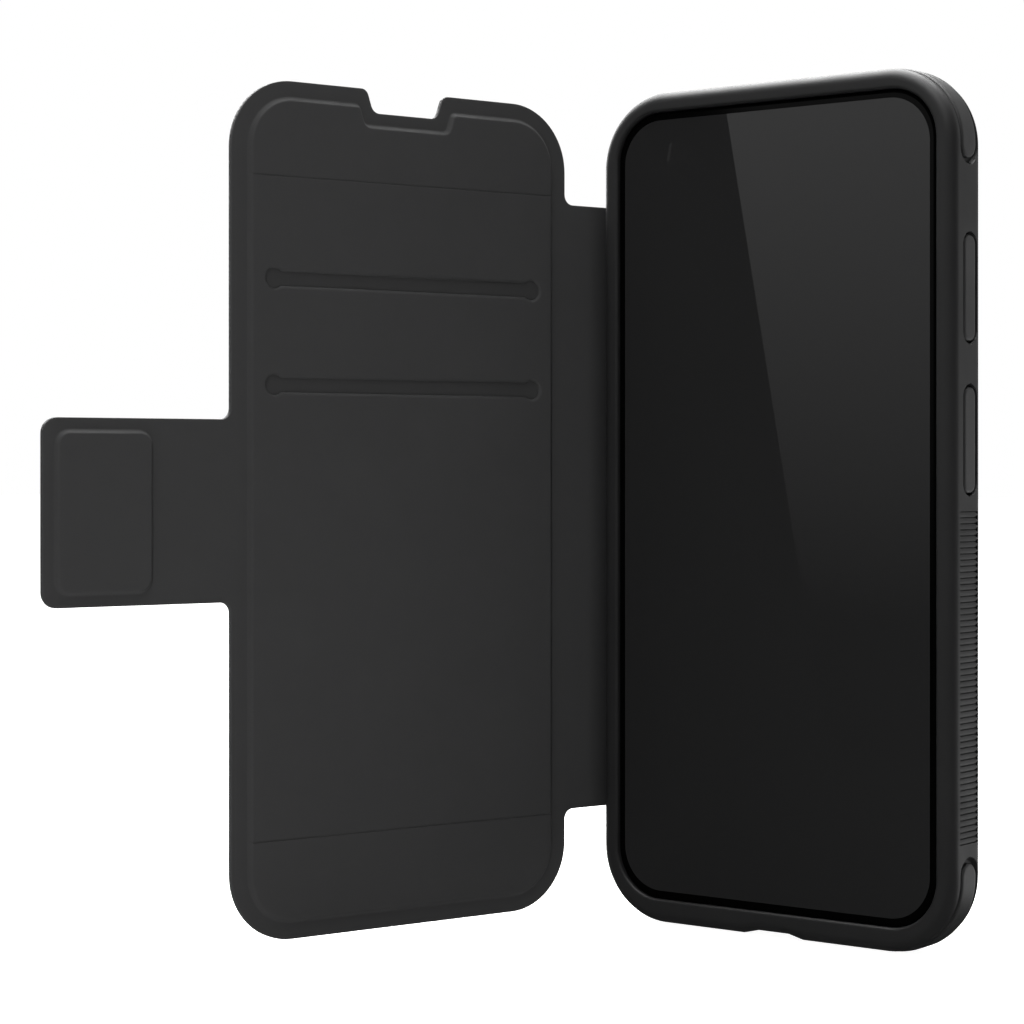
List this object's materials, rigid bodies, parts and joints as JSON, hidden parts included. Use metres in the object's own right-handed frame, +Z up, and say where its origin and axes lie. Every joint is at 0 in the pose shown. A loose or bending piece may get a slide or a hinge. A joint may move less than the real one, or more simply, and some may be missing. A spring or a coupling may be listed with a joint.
{
  "type": "phone wallet case",
  "caption": "Book-style phone wallet case, standing open: moulded shock-absorbing tray with a phone, coated-leather cover with card slots, and a magnetic closing tab.",
  "frame": {"origin": "centre of the tray's back face, where the back leather's outer surface is", "axes": "+Z up along the phone, -Y the way the screen faces, +X to the right seen from the screen side"},
  "size_m": [0.1169, 0.127, 0.1646],
  "materials": {
    "soft_black": "soft black thermoplastic, fine satin",
    "pad_black": "soft black thermoplastic, slightly lighter",
    "plate_black": "hard black plastic, matt",
    "skin_black": "coated leather, fine grain, black",
    "lining_black": "microfibre lining, dense short nap, black",
    "sleeve_black": "thin woven pocket cloth, black",
    "board_grey": "grey pressed fibre board",
    "steel": "rolled steel sheet",
    "magnet": "nickel plated magnet",
    "holder_grey": "grey plastic sheet",
    "phone_metal": "black anodised aluminium",
    "phone_glass": "polished black cover glass",
    "display": "display panel, switched off",
    "back_glass": "black back glass",
    "lens": "coated lens glass"
  },
  "bodies": {
    "tray": {"bumper": "soft_black", "back_plate": "plate_black", "back_leather": "skin_black", "camera_collar": "soft_black", "keeper_plate": "steel", "corner_pad_top_right": "pad_black", "corner_pad_top_left": "pad_black", "corner_pad_bottom_right": "pad_black", "corner_pad_bottom_left": "pad_black", "grip_right": "soft_black", "grip_left": "soft_black"},
    "volume_button": {"volume_cover": "pad_black"},
    "power_button": {"power_cover": "pad_black"},
    "spine": {"spine_skin": "skin_black", "spine_lining": "lining_black"},
    "cover": {"cover_skin": "skin_black", "cover_board": "board_grey", "lining_top": "lining_black", "lining_band": "lining_black", "lining_bottom": "lining_black", "card_sleeve_upper": "sleeve_black", "card_sleeve_lower": "sleeve_black"},
    "strap": {"strap_skin": "skin_black", "strap_lining": "lining_black"},
    "clasp": {"clasp_skin": "skin_black", "clasp_lining": "lining_black", "magnet_holder": "holder_grey", "clasp_magnets": "magnet"},
    "phone": {"phone_frame": "phone_metal", "phone_display": "display", "phone_front_glass": "phone_glass", "phone_back_glass": "back_glass", "camera_island": "back_glass", "camera_lenses": "lens"},
    "volume_key": {"phone_volume_key": "phone_metal"},
    "power_key": {"phone_power_key": "phone_metal"}
  },
  "joints": [
    {"name": "spine_fold", "type": "hinge", "parent": "tray", "child": "spine", "pos_m": [-0.0404, -0.0006, 0], "axis": [0, 0, -1], "range_deg": [-16.1, 173]},
    {"name": "cover_fold", "type": "hinge", "parent": "spine", "child": "cover", "pos_m": [-0.04395, -0.0129, 0], "axis": [0, 0, -1], "range_deg": [-90, 85]},
    {"name": "strap_fold", "type": "hinge", "parent": "cover", "child": "strap", "pos_m": [-0.06638, -0.09062, 0], "axis": [0, 0, -1], "range_deg": [-90, 45]},
    {"name": "clasp_fold", "type": "hinge", "parent": "strap", "child": "clasp", "pos_m": [-0.07057, -0.10513, 0], "axis": [0, 0, -1], "range_deg": [-90, 30]},
    {"name": "volume_press", "type": "slide", "parent": "tray", "child": "volume_button", "axis": [-1, 0, 0], "range_m": [0, 0.0003], "stiffness_N_per_m": 3000},
    {"name": "power_press", "type": "slide", "parent": "tray", "child": "power_button", "axis": [-1, 0, 0], "range_m": [0, 0.0003], "stiffness_N_per_m": 3000},
    {"name": "phone_release", "type": "slide", "parent": "tray", "child": "phone", "axis": [0, -1, 0], "range_m": [0, 0.06]},
    {"name": "volume_key_press", "type": "slide", "parent": "phone", "child": "volume_key", "axis": [-1, 0, 0], "range_m": [0, 0.0003]},
    {"name": "power_key_press", "type": "slide", "parent": "phone", "child": "power_key", "axis": [-1, 0, 0], "range_m": [0, 0.0003]}
  ],
  "couplings": [
    {"joint": "volume_key_press", "follows": "volume_press", "ratio": 1},
    {"joint": "power_key_press", "follows": "power_press", "ratio": 1}
  ]
}
